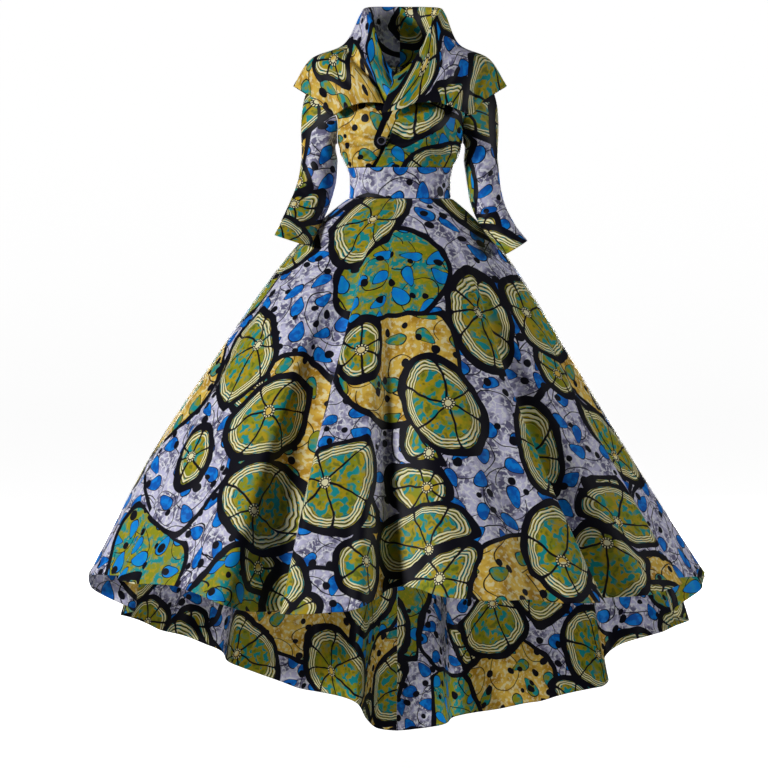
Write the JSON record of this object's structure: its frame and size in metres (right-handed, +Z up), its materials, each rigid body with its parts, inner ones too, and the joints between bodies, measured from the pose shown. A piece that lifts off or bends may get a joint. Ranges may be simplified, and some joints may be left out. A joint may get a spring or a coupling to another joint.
{
  "type": "ankara wax print dress",
  "caption": "Ankara wax print cotton dress with a tall roll collar, crossed fronts, three-quarter sleeves and a full circle skirt with a high-low hem, in the hollow shape it has when worn.",
  "frame": {"origin": "middle of the neck hole, at the height of the neck ends of the shoulder seams, where the wearer's shoulders hold the dress", "axes": "+X the wearer's left, +Y the wearer's back, +Z up; the front of the dress faces -Y"},
  "size_m": [1.3127, 1.3812, 1.6625],
  "materials": {
    "wax_print": "crisp printed wax cotton, olive, blue, lavender and yellow with navy outlines, faint calender sheen",
    "button_black": "polished, with a lighter worn rim"
  },
  "bodies": {
    "root": {"bodice_front_left": "wax_print", "bodice_front_right": "wax_print", "bodice_back_left": "wax_print", "bodice_back_right": "wax_print", "waistband_front": "wax_print", "waistband_back_left": "wax_print", "waistband_back_right": "wax_print", "skirt_front": "wax_print", "skirt_back_left": "wax_print", "skirt_back_right": "wax_print", "sleeve_left": "wax_print", "sleeve_right": "wax_print", "collar_left": "wax_print", "collar_right": "wax_print", "closure_tab": "wax_print", "front_button": "button_black"}
  },
  "joints": []
}
